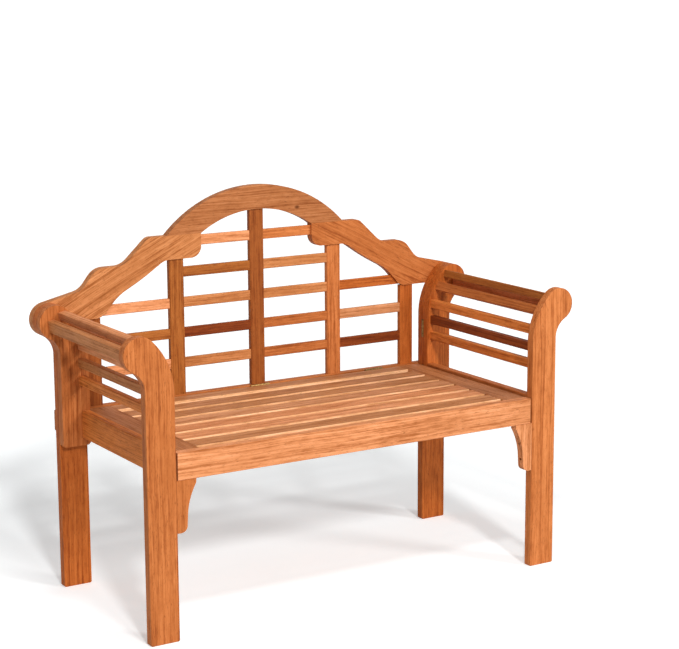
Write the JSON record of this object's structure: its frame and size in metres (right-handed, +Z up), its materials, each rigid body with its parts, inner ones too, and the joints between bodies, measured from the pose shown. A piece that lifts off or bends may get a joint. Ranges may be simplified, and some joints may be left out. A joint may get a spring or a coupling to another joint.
{
  "type": "folding garden bench",
  "caption": "Wooden folding garden bench with scroll-ended slatted arms, an arched and winged slatted back, and a slatted seat that hinges up",
  "frame": {"origin": "on the ground, under the middle of the bench", "axes": "+X to the viewer's right from the front, +Y to the back, +Z up"},
  "size_m": [1.168, 0.502, 0.905],
  "materials": {
    "post_wood": "oiled, satin",
    "seat_wood": "oiled, satin",
    "arm_wood": "oiled, satin",
    "back_wood": "oiled, satin",
    "brass": "satin",
    "screw_steel": "zinc plated"
  },
  "bodies": {
    "frame": {"arm_hinge_arm_leaves": "brass", "arm_hinge_leg_leaves": "brass", "arm_hinge_pins": "brass", "bracket_screws": "screw_steel", "centre_stile": "back_wood", "crest_arch": "back_wood", "frame_bolts": "screw_steel", "left_arm_apron": "arm_wood", "left_arm_inner_stave": "arm_wood", "left_arm_outer_stave": "arm_wood", "left_arm_rear_post": "post_wood", "left_arm_slat_1": "arm_wood", "left_arm_slat_2": "arm_wood", "left_arm_slat_3": "arm_wood", "left_arm_top_slat": "arm_wood", "left_back_leg": "post_wood", "left_bracket": "post_wood", "left_front_leg": "post_wood", "left_inner_back_slats": "back_wood", "left_inner_stile": "back_wood", "left_outer_back_slats": "back_wood", "left_outer_stile": "back_wood", "left_wing": "back_wood", "rear_rail": "back_wood", "right_arm_apron": "arm_wood", "right_arm_inner_stave": "arm_wood", "right_arm_outer_stave": "arm_wood", "right_arm_rear_post": "post_wood", "right_arm_slat_1": "arm_wood", "right_arm_slat_2": "arm_wood", "right_arm_slat_3": "arm_wood", "right_arm_top_slat": "arm_wood", "right_back_leg": "post_wood", "right_bracket": "post_wood", "right_front_leg": "post_wood", "right_inner_back_slats": "back_wood", "right_inner_stile": "back_wood", "right_outer_back_slats": "back_wood", "right_outer_stile": "back_wood", "right_wing": "back_wood", "seat_hinge_pins": "brass", "seat_hinge_rail_leaves": "brass", "seat_hinge_rail_screws": "brass"},
    "seat": {"seat_front_rail": "seat_wood", "seat_hinge_seat_leaves": "brass", "seat_hinge_seat_screws": "brass", "seat_left_batten": "seat_wood", "seat_left_rail": "seat_wood", "seat_right_batten": "seat_wood", "seat_right_rail": "seat_wood", "seat_slat_1": "seat_wood", "seat_slat_2": "seat_wood", "seat_slat_3": "seat_wood", "seat_slat_4": "seat_wood", "seat_slat_5": "seat_wood", "seat_slat_6": "seat_wood", "seat_slat_7": "seat_wood", "batten_screws": "screw_steel"}
  },
  "joints": [
    {"name": "seat_fold", "type": "hinge", "parent": "frame", "child": "seat", "pos_m": [0, 0.2265, 0.414], "axis": [-1, 0, 0], "range_deg": [0, 90]}
  ]
}
